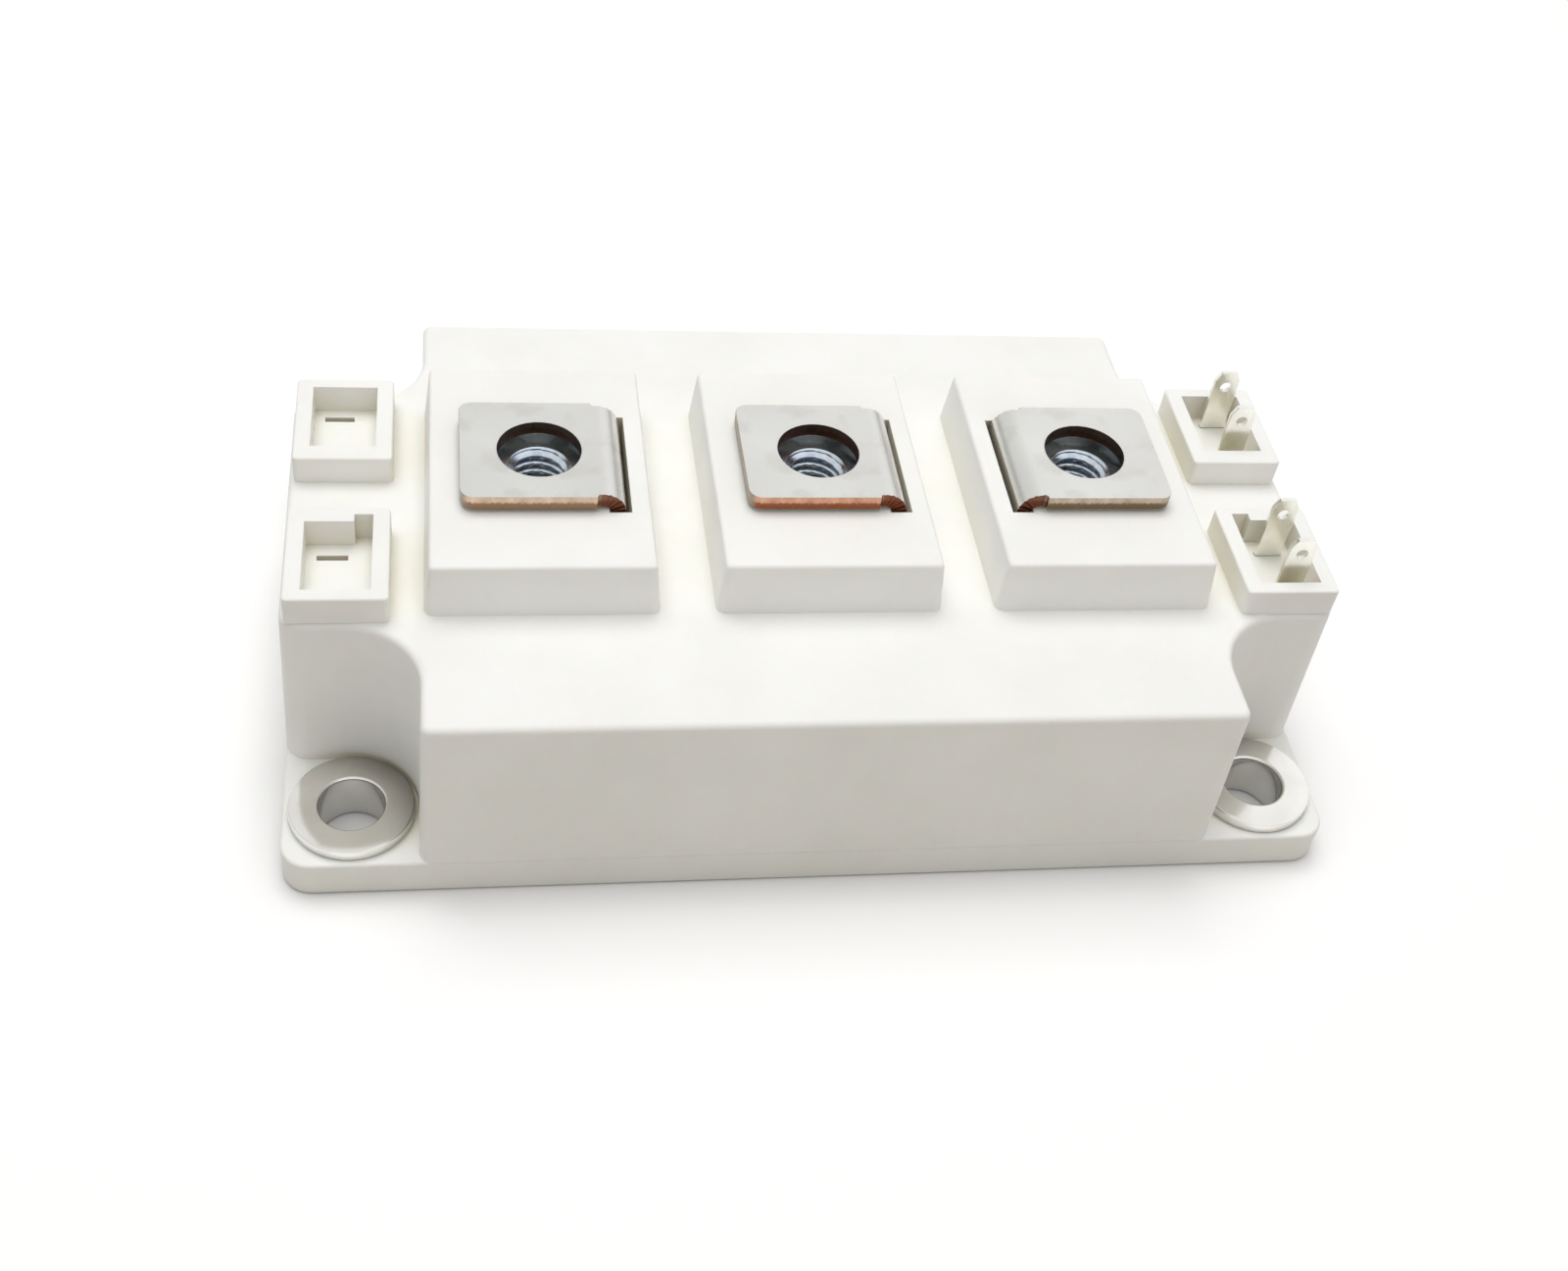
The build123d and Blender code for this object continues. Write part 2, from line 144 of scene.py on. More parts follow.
def nonMetal(name, look):
    # a cloudy tone and a fine grain
    material, tree, shader = newMaterial(name, {"IOR": look["ior"]})
    cloud = pattern(tree, look["cloudSize"])
    tone = overlay(tree, look["light"], look["dark"], cloud, 1)
    finish(tree, shader, tone, cloud, pattern(tree, look["reliefSize"]), look)
    return material


def dress(node, material):
    slots = nodes[node].data.materials
    slots.clear()
    slots.append(material)


def addPiece(name, mesh, origin, materials, node):
    # a new piece in place of a solid, its own origin at the middle of that sub-part
    piece = bpy.data.objects.new(name, mesh)
    piece.location = origin
    bpy.context.scene.collection.objects.link(piece)
    for material in materials:
        mesh.materials.append(material)
    for polygon in mesh.polygons:
        polygon.use_smooth = True
    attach(piece, "root")
    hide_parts(node)
    return piece


def meshFrom(name, points, faces):
    # points in millimetres
    mesh = bpy.data.meshes.new(name)
    mesh.from_pydata([[c * mm for c in point] for point in points], [], faces)
    mesh.validate()
    return mesh


def arc(centre, radius, start, end, steps):
    # points of a round edge, angles in degrees
    turns = [math.radians(start + (end - start) * i / steps) for i in range(steps + 1)]
    return [(centre[0] + radius * math.cos(t), centre[1] + radius * math.sin(t)) for t in turns]


def standing(node):
    # the middle of the node's underside, in metres, and its height in millimetres
    low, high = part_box(node)
    centre = (low + high) / 2
    return Vector((centre.x, centre.y, low.z)), (high.z - low.z) / mm


# Housing, moulded PBT: a warm off-white with a fine eroded texture that softens every reflection. Painted
# shade makes it darker and yellower in narrow places. The grain is 0.1 mm on a real tool and is drawn at 0.3
# mm, or it wouldn't show.
housingLook = {
    "light": "FAFAF8", "dark": "F5F5F2", "cloudSize": 9.0, "roughness": (0.40, 0.52),
    "reliefSize": 0.3, "reliefDepth": 0.012, "reliefDetail": 2.0,
    "recessShade": "DFDAC5", "recessShadeReach": 7.0, "recessShadeShare": 0.9, "recessShadeRange": (0.58, 0.05),
    "surface": {"IOR": 1.55, "Subsurface Weight": 0.12, "Subsurface Scale": 0.0012},
}


def mouldedPbt():
    look = housingLook
    material, tree, shader = newMaterial("mouldedPbtWhite", look["surface"])
    cloud = pattern(tree, look["cloudSize"])
    tone = overlay(tree, look["light"], look["dark"], cloud, 1)
    # painted shade: the tone turns darker and yellower where other surfaces stand within reach
    settings = {"Distance": look["recessShadeReach"] * mm, "samples": occlusionSamples}
    openness = addNode(tree, "ShaderNodeAmbientOcclusion", settings).outputs["AO"]
    tone = overlay(tree, tone, look["recessShade"], openness, look["recessShadeShare"], look["recessShadeRange"])
    grain = pattern(tree, look["reliefSize"], look["reliefDetail"])
    finish(tree, shader, tone, cloud, grain, look)
    return material


# Baseplate, electroless nickel on milled copper: pale grey, with long fine milling marks
plateLook = {
    "light": "D6D4CE", "dark": "C4C1B9", "cloudSize": 14.0, "roughness": (0.2, 0.44),
    "stretch": (0.02, 1, 1), "reliefSize": 0.35, "reliefDepth": 0.004,
}
# Bonded copper of the substrates, etched, and the drawn clips on them: warm, half matte
copperLook = {
    "light": "D79A78", "dark": "B9765A", "cloudSize": 3.0, "roughness": (0.3, 0.45),
    "stretch": (1, 1, 1), "reliefSize": 0.3, "reliefDepth": 0.004,
}
# Bond wires, drawn aluminium: bright, with marks along the wire
wireLook = {
    "light": "DADBDD", "dark": "C6C8CB", "cloudSize": 1.0, "roughness": (0.2, 0.32),
    "stretch": (0.2, 1, 1), "reliefSize": 0.1, "reliefDepth": 0.001,
}
# Hidden pieces that aren't metal: fired ceramic is matte white, polished silicon a dark mirror, cured
# silicones are soft greys, and the wires' insulation is a waxy white
hiddenLooks = {
    "firedAlumina": {
        "light": "F1F1EE", "dark": "E6E6E2", "cloudSize": 4.0, "roughness": (0.5, 0.6),
        "reliefSize": 0.1, "reliefDepth": 0.004, "ior": 1.76,
    },
    "polishedSilicon": {
        "light": "5B5F68", "dark": "474B54", "cloudSize": 6.0, "roughness": (0.12, 0.2),
        "reliefSize": 0.5, "reliefDepth": 0.001, "ior": 3.4,
    },
    "siliconeSealant": {
        "light": "D8D6CF", "dark": "C9C6BD", "cloudSize": 3.0, "roughness": (0.4, 0.55),
        "reliefSize": 0.6, "reliefDepth": 0.02, "ior": 1.41,
    },
    "siliconeGel": {
        "light": "DAD9CF", "dark": "CFCDC0", "cloudSize": 8.0, "roughness": (0.08, 0.16),
        "reliefSize": 2.0, "reliefDepth": 0.01, "ior": 1.41,
    },
    "extrudedPtfe": {
        "light": "EFEEEA", "dark": "E2E0DA", "cloudSize": 2.0, "roughness": (0.35, 0.45),
        "reliefSize": 0.3, "reliefDepth": 0.003, "ior": 1.38,
    },
}


def dressSolids():
    # the solids whose own shape shows, or that lie hidden inside
    dress("housing", mouldedPbt())
    dress("baseplate", metal("nickelPlatedPlate", plateLook))
    copper = metal("bondedCopper", copperLook)
    wire = metal("drawnAluminiumWire", wireLook)
    hidden = {name: nonMetal(name, look) for name, look in hiddenLooks.items()}
    dress("sealing_bead", hidden["siliconeSealant"])
    dress("gel_fill", hidden["siliconeGel"])
    dress("link_bridges", copper)
    for side in ("left", "right"):
        dress("back_copper_" + side, copper)
        dress("circuit_copper_" + side, copper)
        dress("ceramic_" + side, hidden["firedAlumina"])
        dress("transistor_chips_" + side, hidden["polishedSilicon"])
        dress("diode_chips_" + side, hidden["polishedSilicon"])
        dress("bond_wires_" + side, wire)
    for number in range(1, 5):
        dress("signal_wire_" + str(number), hidden["extrudedPtfe"])


# Power terminals: folded strips with a punched hole, sizes in millimetres. A relief notch bites into each
# side where the flat ends: its points are shares of its size, along the strip and across it.
strap = {
    "thickness": 1.5, "freeEnd": 7.8, "foldFace": 8.3, "halfWidth": 7.2, "legHalf": 6.8,
    "holeRadius": 4.15, "cornerRadius": 1.3, "bendInside": 0.9, "legBreak": 6.0,
    "notch": 0.5, "notchShape": ((0.5, -0.1), (0.9, 0.2)), "tear": 0.07, "tearTurn": 2.4,
    "rings": 4, "ringCrowd": 1.5, "legSteps": 14, "bendSteps": 14,
    "sideSteps": 8, "endSteps": 10, "cornerSteps": 6,
    "edge": 0.18, "edgeSteps": 3, "edgeAngle": 35,
}
# Which way each strip folds and its foot points, the foot's length, and the tones of its sheared edge
strapSides = {
    "left": {"fold": 1, "foot": -1, "footLength": 6.0, "bright": "EBD6C0", "dull": "9C7A62"},
    "middle": {"fold": 1, "foot": 1, "footLength": 3.0, "bright": "E8BA9E", "dull": "9A5C40"},
    "right": {"fold": -1, "foot": -1, "footLength": 6.0, "bright": "DACAB4", "dull": "7C6854"},
}
# Matte nickel plating on rolled copper: pale warm grey, with a soft sheen drawn out along the strip and a few
# faint dull patches
nickelLook = {
    "light": "ECECE9", "dark": "E0DFDB", "cloudSize": 11.0, "roughness": (0.27, 0.31),
    "stretch": (1, 0.15, 1), "reliefSize": 0.15, "reliefDepth": 0.0002,
    "worn": "CBC8C0", "wornSize": 2.6, "wornShare": 0.3, "wornRange": (0.55, 0.7),
}
# Copper sheared by the press: the upper part of the cut is burnished and bright, the lower part torn and
# darker with upright tear marks, the ends of the fold are torn red-brown, and plating smeared over the free
# end turns it grey. Places are in millimetres from the hole's middle, and for the burnish down from the top.
# The hole's wall is darkened, partly for its torn copper and partly as painted shade and reflection.
shearLook = {
    "roughness": (0.3, 0.55), "stretch": (1, 1, 0.25), "reliefSize": 0.3, "reliefDepth": 0.05,
    "cloudSize": 1.2, "cloudShare": 0.5, "burnishRange": (-0.525, -0.225), "ragged": 0.7,
    "torn": "6E3A28", "tornShare": 0.85, "tornRange": (5.3, 5.8),
    "smeared": "A8A196", "smearedShare": 0.85, "smearedRange": (-7.0, -7.6),
    "holeShadeAndTear": "4A3428", "holeShadeAndTearShare": 0.9, "holeShadeAndTearRange": (4.6, 4.3),
}


def shearedCopper(side):
    look, own = shearLook, strapSides[side]
    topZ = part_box("terminal_" + side)[1].z
    material, tree, shader = newMaterial("shearedCopper" + side.capitalize(), {"Metallic": 1.0})
    marks = pattern(tree, look["reliefSize"], markDetail, look["stretch"])
    where = addNode(tree, "ShaderNodeTexCoord", {}).outputs["Object"]
    axes = addNode(tree, "ShaderNodeSeparateXYZ", {"Vector": where}).outputs
    settings = {"operation": "MULTIPLY_ADD", 0: marks, 1: look["ragged"] * mm, 2: axes["Z"]}
    ragged = addNode(tree, "ShaderNodeMath", settings).outputs[0]
    burnishReach = [topZ + z * mm for z in look["burnishRange"]]
    tone = overlay(tree, own["dull"], own["bright"], ragged, 1, burnishReach)
    tone = overlay(tree, tone, own["dull"], pattern(tree, look["cloudSize"]), look["cloudShare"])
    settings = {"operation": "MULTIPLY", 0: axes["X"], 1: own["fold"]}
    towardsFold = addNode(tree, "ShaderNodeMath", settings).outputs[0]
    settings = {"operation": "MULTIPLY", 0: where, 1: (1, 1, 0)}
    level = addNode(tree, "ShaderNodeVectorMath", settings).outputs["Vector"]
    fromHole = addNode(tree, "ShaderNodeVectorMath", {"operation": "LENGTH", 0: level}).outputs["Value"]
    # the hole's wall darkens for its torn copper and for painted shade
    for name, mask in (("torn", towardsFold), ("smeared", towardsFold), ("holeShadeAndTear", fromHole)):
        reach = [place * mm for place in look[name + "Range"]]
        tone = overlay(tree, tone, look[name], mask, look[name + "Share"], reach)
    finish(tree, shader, tone, marks, marks, look)
    return material


def strapOutline(s, flatEnd):
    # the flat's rim, once round from the leg's front corner
    halfWidth, legHalf, freeEnd, r = s["halfWidth"], s["legHalf"], s["freeEnd"], s["cornerRadius"]
    sideStart = flatEnd - s["notch"]
    legStep = 2 * legHalf / s["legSteps"]
    sideStep = (sideStart + freeEnd - r) / s["sideSteps"]
    endStep = 2 * (halfWidth - r) / s["endSteps"]
    side = [sideStart - sideStep * i for i in range(1, s["sideSteps"])]
    notch = [(flatEnd - x * s["notch"], legHalf + y * s["notch"]) for x, y in s["notchShape"]]
    notch.append((sideStart, halfWidth))
    rim = [(flatEnd, legStep * i - legHalf) for i in range(s["legSteps"] + 1)]
    rim += notch
    rim += [(x, halfWidth) for x in side]
    rim += arc((r - freeEnd, halfWidth - r), r, 90, 180, s["cornerSteps"])
    rim += [(-freeEnd, halfWidth - r - endStep * i) for i in range(1, s["endSteps"])]
    rim += arc((r - freeEnd, r - halfWidth), r, 180, 270, s["cornerSteps"])
    rim += [(x, -halfWidth) for x in reversed(side)]
    rim += [(x, -y) for x, y in reversed(notch)]
    return rim


def strapPath(s, own, flatEnd, topZ, footZ):
    # the outer skin from the flat's end over the fold, down the leg and to the foot's tip
    bendRadius = s["foldFace"] - flatEnd
    kneeZ = footZ + (0 if own["foot"] < 0 else s["thickness"])
    kneeX = s["foldFace"] - (s["thickness"] if own["foot"] < 0 else 0)
    path = arc((flatEnd, topZ - bendRadius), bendRadius, 90, 0, s["bendSteps"])[1:]
    path.append((s["foldFace"], topZ - bendRadius - s["legBreak"]))
    path.append((s["foldFace"], kneeZ))
    path.append((kneeX + own["foot"] * own["footLength"], kneeZ))
    return path


def strapMesh(side):
    # the outer skin of the strip: the flat round its hole, then fold, leg and foot
    s, own = strap, strapSides[side]
    low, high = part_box("terminal_" + side)
    topZ, footZ = high.z / mm, low.z / mm
    flatEnd = s["foldFace"] - s["bendInside"] - s["thickness"]
    rim = strapOutline(s, flatEnd)
    count = len(rim)
    points, faces = [], []
    for ring in range(s["rings"] + 1):
        share = (ring / s["rings"]) ** s["ringCrowd"]
        for x, y in rim:
            turn = math.atan2(y, x)
            holeX, holeY = s["holeRadius"] * math.cos(turn), s["holeRadius"] * math.sin(turn)
            points.append((holeX + (x - holeX) * share, holeY + (y - holeY) * share, topZ))
    for ring in range(s["rings"]):
        for i in range(count):
            a, b = ring * count + i, ring * count + (i + 1) % count
            faces.append((a, a + count, b + count, b))
    across = range(s["legSteps"] + 1)
    last = [s["rings"] * count + i for i in across]
    for step, (x, z) in enumerate(strapPath(s, own, flatEnd, topZ, footZ)):
        row = [len(points) + i for i in across]
        torn = s["tear"] * math.sin(step * s["tearTurn"]) if step < s["bendSteps"] else 0
        for i in across:
            wider = torn / s["legHalf"] if i in (0, s["legSteps"]) else 0
            points.append((x, rim[i][1] * (1 + wider), z))
        faces += [(last[i], row[i], row[i + 1], last[i + 1]) for i in range(s["legSteps"])]
        last = row
    if own["fold"] < 0:
        points = [(-x, y, z) for x, y, z in points]
        faces = [tuple(reversed(face)) for face in faces]
    return meshFrom("strap_" + side, points, faces)


def makeTerminal(side, plating):
    materials = [plating, shearedCopper(side)]
    origin = Vector((standing("nut_" + side)[0].x, 0, 0))
    node = "terminal_" + side
    piece = addPiece("folded_terminal_" + side, strapMesh(side), origin, materials, node)
    sheet = piece.modifiers.new("sheet", "SOLIDIFY")
    sheet.thickness = strap["thickness"] * mm
    sheet.offset = -1
    sheet.use_even_offset = True
    sheet.material_offset_rim = 1
    edges = piece.modifiers.new("edges", "BEVEL")
    edges.width = strap["edge"] * mm
    edges.segments = strap["edgeSteps"]
    edges.limit_method = "ANGLE"
    edges.angle_limit = math.radians(strap["edgeAngle"])
    edges.harden_normals = True


# Hexagon nuts with an M6 thread, sizes in millimetres
nut = {
    "flats": 10.0, "height": 5.0, "cornerTurn": 0.6, "cornerDrop": 0.35, "mouthRadius": 3.15,
    "pitch": 1.0, "coreRadius": 2.5, "rootRadius": 3.0, "rootShare": 0.35,
    "steps": 120, "rowsPerPitch": 16, "sharpAngle": 32,
}
# Zinc plating with a blue passivation on steel: cool and fairly bright
zincLook = {
    "light": "E6EEF7", "dark": "B4C2D6", "cloudSize": 1.5, "roughness": (0.16, 0.28),
    "stretch": (1, 1, 1), "reliefSize": 0.2, "reliefDepth": 0.003,
}


def threadRadius(phase):
    # the 60 degree profile: narrow root, straight flanks, broader crest
    depth = nut["rootRadius"] - nut["coreRadius"]
    flank = depth * math.tan(math.radians(30)) / nut["pitch"]
    rootHalf = (0.5 - flank) * nut["rootShare"]
    away = abs((phase % 1.0) - 0.5)
    climb = min(max((away - rootHalf) / flank, 0), 1)
    return nut["rootRadius"] - depth * climb


def nutMesh(name):
    # a closed profile at each step round: up the thread, and down the flat or corner
    s = nut
    rows = int(s["height"] / s["pitch"] * s["rowsPerPitch"])
    turnedRadius = s["flats"] / 2 / math.cos(math.radians(30)) - s["cornerTurn"]
    slope = s["cornerDrop"] / s["cornerTurn"]
    points = []
    for i in range(s["steps"]):
        turn = 2 * math.pi * i / s["steps"]
        toFlat = (turn + math.pi / 6) % (math.pi / 3) - math.pi / 6
        hexRadius = s["flats"] / 2 / math.cos(toFlat)
        faceRadius = min(hexRadius, turnedRadius)
        drop = max(0, hexRadius - turnedRadius) * slope
        column = []
        for row in range(rows + 1):
            z = s["height"] * row / rows
            mouth = s["mouthRadius"] - min(z, s["height"] - z)
            column.append((max(threadRadius(z / s["pitch"] - i / s["steps"]), mouth), z))
        column += [(faceRadius, s["height"]), (hexRadius, s["height"] - drop)]
        column += [(hexRadius, drop), (faceRadius, 0)]
        points += [(r * math.cos(turn), r * math.sin(turn), z) for r, z in column]
    count = len(column)
    faces = []
    for i in range(s["steps"]):
        here, there = i * count, (i + 1) % s["steps"] * count
        for j in range(count):
            nextRow = (j + 1) % count
            faces.append((here + j, here + nextRow, there + nextRow, there + j))
    return meshFrom(name, points, faces)


def makeNut(side, material):
    node = "nut_" + side
    foot = standing(node)[0]
    piece = addPiece("threaded_" + node, nutMesh(node + "_mesh"), foot, [material], node)
    piece.data.set_sharp_from_angle(angle=math.radians(nut["sharpAngle"]))


# Hollow rivets, sizes in millimetres: broad ring, tube, and a rolled mouth
rivet = {
    "ringRadius": 6.1, "ringThickness": 1.2, "tubeRadius": 4.2, "bore": 3.2,
    "footRound": 0.15, "topRound": 0.16, "mouthRound": 0.3,
    "steps": 144, "footSteps": 4, "topSteps": 6, "sharpAngle": 40,
}
# Bright nickel on turned steel: near mirror, so it shows the pocket's walls. Painted shade darkens it where
# the walls stand close, standing for their shade and their dark reflection.
rivetLook = {
    "light": "F8F7F3", "dark": "EDEBE5", "cloudSize": 4.0, "roughness": (0.1, 0.16),
    "stretch": (1, 1, 1), "reliefSize": 0.5, "reliefDepth": 0.0004,
    "wallShade": "5E564A", "wallShadeReach": 10.0, "wallShadeShare": 0.9, "wallShadeRange": (0.8, 0.3), "uprightShare": 0.3,
}


def rivetMesh(name, height):
    # a closed profile of (radius, height), turned round the upright axis
    s = rivet
    foot, top, mouth, ringFoot = s["footRound"], s["topRound"], s["mouthRound"], height - s["ringThickness"]
    profile = [(s["bore"], 0), (s["tubeRadius"], 0), (s["tubeRadius"], ringFoot)]
    profile += arc((s["ringRadius"] - foot, ringFoot + foot), foot, -90, 0, s["footSteps"])
    profile += arc((s["ringRadius"] - top, height - top), top, 0, 90, s["topSteps"])
    profile += arc((s["bore"] + mouth, height - mouth), mouth, 90, 180, s["topSteps"])
    count = len(profile)
    points, faces = [], []
    for i in range(s["steps"]):
        turn = 2 * math.pi * i / s["steps"]
        points += [(r * math.cos(turn), r * math.sin(turn), z) for r, z in profile]
        here, there = i * count, (i + 1) % s["steps"] * count
        for j in range(count):
            nextPoint = (j + 1) % count
            faces.append((here + j, there + j, there + nextPoint, here + nextPoint))
    return meshFrom(name, points, faces)


def makeRivet(corner, material):
    node = "collar_" + corner
    foot, height = standing(node)
    mesh = rivetMesh(node + "_mesh", height)
    piece = addPiece("hollow_rivet_" + corner, mesh, foot, [material], node)
    piece.data.set_sharp_from_angle(angle=math.radians(rivet["sharpAngle"]))


# Signal tabs, sizes in millimetres
blade = {
    "width": 2.8, "thickness": 0.5, "crop": 0.55, "holeRadius": 0.6, "holeDrop": 1.9, "holeSteps": 32,
    "edge": 0.06, "edgeSteps": 2, "sharpAngle": 40,
}
# Bright tin on brass: pale and shiny, with marks along the blade
tinLook = {
    "light": "FBFAF4", "dark": "EFEDE3", "cloudSize": 2.0, "roughness": (0.18, 0.28),
    "stretch": (1, 1, 0.15), "reliefSize": 0.2, "reliefDepth": 0.002,
}


def bladeMesh(name, length):
    # a flat curve with a hole, thickened, with soft edges
    s = blade
    half, crop = s["width"] / 2, s["crop"]
    outline = [(-half, 0), (half, 0), (half, length - 2 * crop), (half - crop, length),
               (crop - half, length), (-half, length - 2 * crop)]
    turns = [2 * math.pi * i / s["holeSteps"] for i in range(s["holeSteps"])]
    holeZ = length - s["holeDrop"]
    hole = [(s["holeRadius"] * math.cos(t), holeZ + s["holeRadius"] * math.sin(t)) for t in turns]
    curve = bpy.data.curves.new(name, "CURVE")
    curve.dimensions = "2D"
    curve.fill_mode = "BOTH"
    curve.extrude = (s["thickness"] / 2 - s["edge"]) * mm
    curve.bevel_depth = s["edge"] * mm
    curve.bevel_resolution = s["edgeSteps"]
    curve.offset = -s["edge"] * mm
    for loop in (outline, hole):
        spline = curve.splines.new("POLY")
        spline.points.add(len(loop) - 1)
        for point, (x, z) in zip(spline.points, loop):
            point.co = (x * mm, z * mm, 0, 1)
        spline.use_cyclic_u = True
    source = bpy.data.objects.new(name, curve)
    mesh = bpy.data.meshes.new_from_object(source)
    bpy.data.objects.remove(source)
    mesh.transform(Matrix.Rotation(math.radians(90), 4, "X"))
    return mesh


def makeBlade(number, material):
    node = "signal_tab_" + str(number)
    foot, length = standing(node)
    mesh = bladeMesh(node + "_mesh", length)
    piece = addPiece("blade_" + str(number), mesh, foot, [material], node)
    piece.data.set_sharp_from_angle(angle=math.radians(blade["sharpAngle"]))


# Floor: pale and plain. Part of its white is its own, so that the object's shadow stays faint, and that part
# goes where the object stands close. Far out it fades to the room's white. It lies a hair above the plate's
# underside, which would otherwise share its plane. The half size is in metres, the rest in millimetres.
floorLook = {
    "halfSize": 3.0, "lift": 0.02, "seenTone": "D6D6D6", "bounce": "D0CCC3", "fadeRange": (130.0, 420.0),
    "own": 0.37, "shadeReach": 6.0, "shadeShare": 0.1, "shadeRange": (0.2, 0.95),
}


def seenRays(tree):
    # 1 for what the camera, a mirror or a clear material sees, 0 for light that is only scattered
    rays = addNode(tree, "ShaderNodeLightPath", {}).outputs
    settings = {"operation": "MAXIMUM", 0: rays["Is Camera Ray"], 1: rays["Is Glossy Ray"]}
    opaque = addNode(tree, "ShaderNodeMath", settings).outputs[0]
    settings = {"operation": "MAXIMUM", 0: opaque, 1: rays["Is Transmission Ray"]}
    return addNode(tree, "ShaderNodeMath", settings).outputs[0]


def paperFloor():
    look = floorLook
    material = bpy.data.materials.new("paperFloor")
    tree = emptyTree(material)
    diffuse = addNode(tree, "ShaderNodeBsdfDiffuse", {"Color": look["seenTone"]}).outputs[0]
    settings = {"Distance": look["shadeReach"] * mm, "samples": occlusionSamples}
    openness = addNode(tree, "ShaderNodeAmbientOcclusion", settings).outputs["AO"]
    start, end = look["shadeRange"]
    settings = {"Value": openness, "From Min": start, "From Max": end}
    settings.update({"To Min": look["shadeShare"] * look["own"], "To Max": look["own"]})
    strength = addNode(tree, "ShaderNodeMapRange", settings).outputs[0]
    own = addNode(tree, "ShaderNodeEmission", {"Strength": strength}).outputs[0]
    near = addNode(tree, "ShaderNodeAddShader", {0: diffuse, 1: own}).outputs[0]
    where = addNode(tree, "ShaderNodeTexCoord", {}).outputs["Object"]
    away = addNode(tree, "ShaderNodeVectorMath", {"operation": "LENGTH", 0: where}).outputs["Value"]
    start, end = look["fadeRange"]
    settings = {"Value": away, "From Min": start * mm, "From Max": end * mm}
    faded = addNode(tree, "ShaderNodeMapRange", settings).outputs[0]
    far = addNode(tree, "ShaderNodeEmission", {"Strength": 1.0}).outputs[0]
    shown = addNode(tree, "ShaderNodeMixShader", {0: faded, 1: near, 2: far}).outputs[0]
    bounce = addNode(tree, "ShaderNodeBsdfDiffuse", {"Color": look["bounce"]}).outputs[0]
    mix = addNode(tree, "ShaderNodeMixShader", {0: seenRays(tree), 1: bounce, 2: shown}).outputs[0]
    addNode(tree, "ShaderNodeOutputMaterial", {"Surface": mix})
    return material


def makeFloor():
    half, z = floorLook["halfSize"], floorLook["lift"] * mm
    mesh = bpy.data.meshes.new("floor")
    corners = [(-half, -half, z), (half, -half, z), (half, half, z), (-half, half, z)]
    mesh.from_pydata(corners, [], [(0, 1, 2, 3)])
    floor = bpy.data.objects.new("floor", mesh)
    bpy.context.scene.collection.objects.link(floor)
    mesh.materials.append(paperFloor())


# Room: white to the camera. A mirror sees it dimmer towards the upper left and dark near the horizon, which
# shades the bright metals. Its glow lights the object from all round.
room = {
    "seen": "FFFFFF", "glow": "F6F6F6", "glowStrength": 0.42,
    "dimmed": "E0E0DE", "dimmedTowards": (-0.7, 0.2, 0.69), "dimmedRange": (0.25, 0.95),
    "horizon": "8C8B88", "horizonRange": (0.3, 0.05),
}


def makeRoom():
    world = bpy.data.worlds.new("whiteRoom")
    bpy.context.scene.world = world
    tree = emptyTree(world)
    settings = {"Color": room["glow"], "Strength": room["glowStrength"]}
    glow = addNode(tree, "ShaderNodeBackground", settings).outputs[0]
    outward = addNode(tree, "ShaderNodeTexCoord", {}).outputs["Generated"]
    settings = {"operation": "DOT_PRODUCT", 0: outward, 1: room["dimmedTowards"]}
    along = addNode(tree, "ShaderNodeVectorMath", settings).outputs["Value"]
    walls = overlay(tree, room["seen"], room["dimmed"], along, 1, room["dimmedRange"])
    upDown = addNode(tree, "ShaderNodeSeparateXYZ", {"Vector": outward}).outputs["Z"]
    tilt = addNode(tree, "ShaderNodeMath", {"operation": "ABSOLUTE", 0: upDown}).outputs[0]
    walls = overlay(tree, walls, room["horizon"], tilt, 1, room["horizonRange"])
    mirror = addNode(tree, "ShaderNodeLightPath", {}).outputs["Is Glossy Ray"]
    settings = {"data_type": "RGBA", 0: mirror, 6: room["seen"], 7: walls}
    backdrop = addNode(tree, "ShaderNodeMix", settings).outputs[2]
    seen = addNode(tree, "ShaderNodeBackground", {"Strength": 1.0, "Color": backdrop}).outputs[0]
    mix = addNode(tree, "ShaderNodeMixShader", {0: seenRays(tree), 1: glow, 2: seen}).outputs[0]
    addNode(tree, "ShaderNodeOutputWorld", {"Surface": mix})


# Lamps: a broad soft box above and behind, and a weak one in front; places and sizes in metres
lamps = {
    "softBox": {"place": (-0.06, 0.20, 0.85), "size": 0.6, "power": 5.02, "tone": "FFFEFB"},
    "frontFill": {"place": (0.30, -0.90, 0.50), "size": 0.8, "power": 1.0, "tone": "FFF3E2"},
}


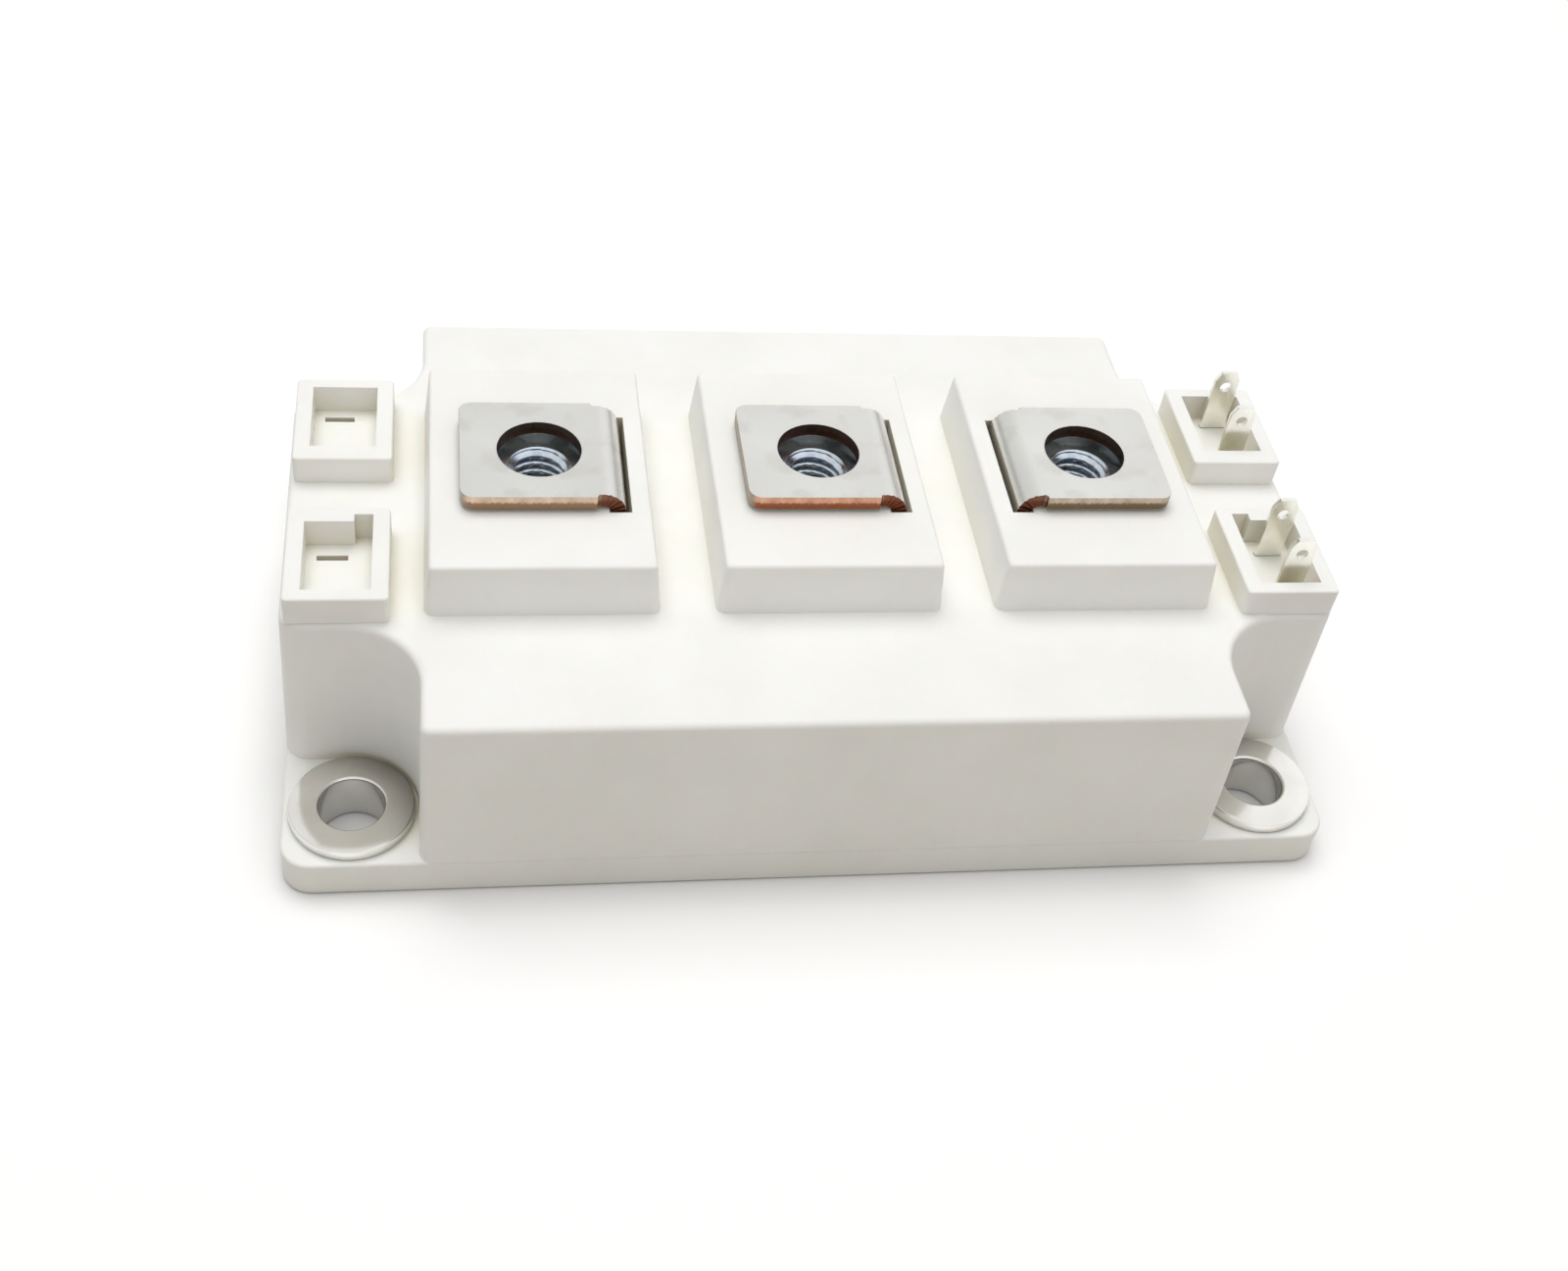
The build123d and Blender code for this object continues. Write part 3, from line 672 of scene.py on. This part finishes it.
def makeLamps():
    for name, look in lamps.items():
        data = bpy.data.lights.new(name, "AREA")
        data.size = look["size"]
        data.energy = look["power"]
        data.color = linearColour(look["tone"])[:3]
        lamp = bpy.data.objects.new(name, data)
        lamp.location = look["place"]
        lamp.rotation_euler = (-Vector(look["place"])).to_track_quat("-Z", "Y").to_euler()
        lamp.visible_glossy = False  # mirrors see the white room instead, or flat metal would clip
        bpy.context.scene.collection.objects.link(lamp)


# Camera: the photograph's view, from the front, above and a little to the left; places in millimetres
cameraView = {
    "place": (-36.0, -144.7, 152.6), "yaw": 13.8, "pitch": 45.0, "roll": 9.2, "lens": 43.61, "nearest": 10.0,
}


def makeCamera():
    v = cameraView
    yaw, pitch, roll = (math.radians(v[name]) for name in ("yaw", "pitch", "roll"))
    ahead = Vector((math.sin(yaw) * math.cos(pitch), math.cos(yaw) * math.cos(pitch), -math.sin(pitch)))
    side = ahead.cross(Vector((0, 0, 1))).normalized()
    up = side.cross(ahead)
    right = side * math.cos(roll) + up * math.sin(roll)
    top = up * math.cos(roll) - side * math.sin(roll)
    data = bpy.data.cameras.new("camera")
    data.lens = v["lens"]
    data.clip_start = v["nearest"] * mm
    camera = bpy.data.objects.new("camera", data)
    turn = Matrix((right, top, -ahead)).transposed().to_4x4()
    camera.matrix_world = Matrix.Translation(Vector(v["place"]) * mm) @ turn
    bpy.context.scene.collection.objects.link(camera)
    bpy.context.scene.camera = camera


dressSolids()
print("solids dressed")

nickel = metal("matteNickelOnCopper", nickelLook)
for terminalSide in strapSides:
    makeTerminal(terminalSide, nickel)
print("terminals folded")

zinc = metal("blueZincOnSteel", zincLook)
for terminalSide in strapSides:
    makeNut(terminalSide, zinc)
print("nuts threaded")

rivetMetal = metal("brightNickelOnSteel", rivetLook)
for cornerName in ("front_left", "front_right", "rear_left", "rear_right"):
    makeRivet(cornerName, rivetMetal)
print("rivets turned")

tin = metal("brightTinOnBrass", tinLook)
for bladeNumber in range(1, 5):
    makeBlade(bladeNumber, tin)
print("signal tabs cut")

makeFloor()
makeRoom()
makeLamps()
makeCamera()
bpy.context.scene.view_settings.view_transform = "Standard"
print("floor, room, lamps and camera set")
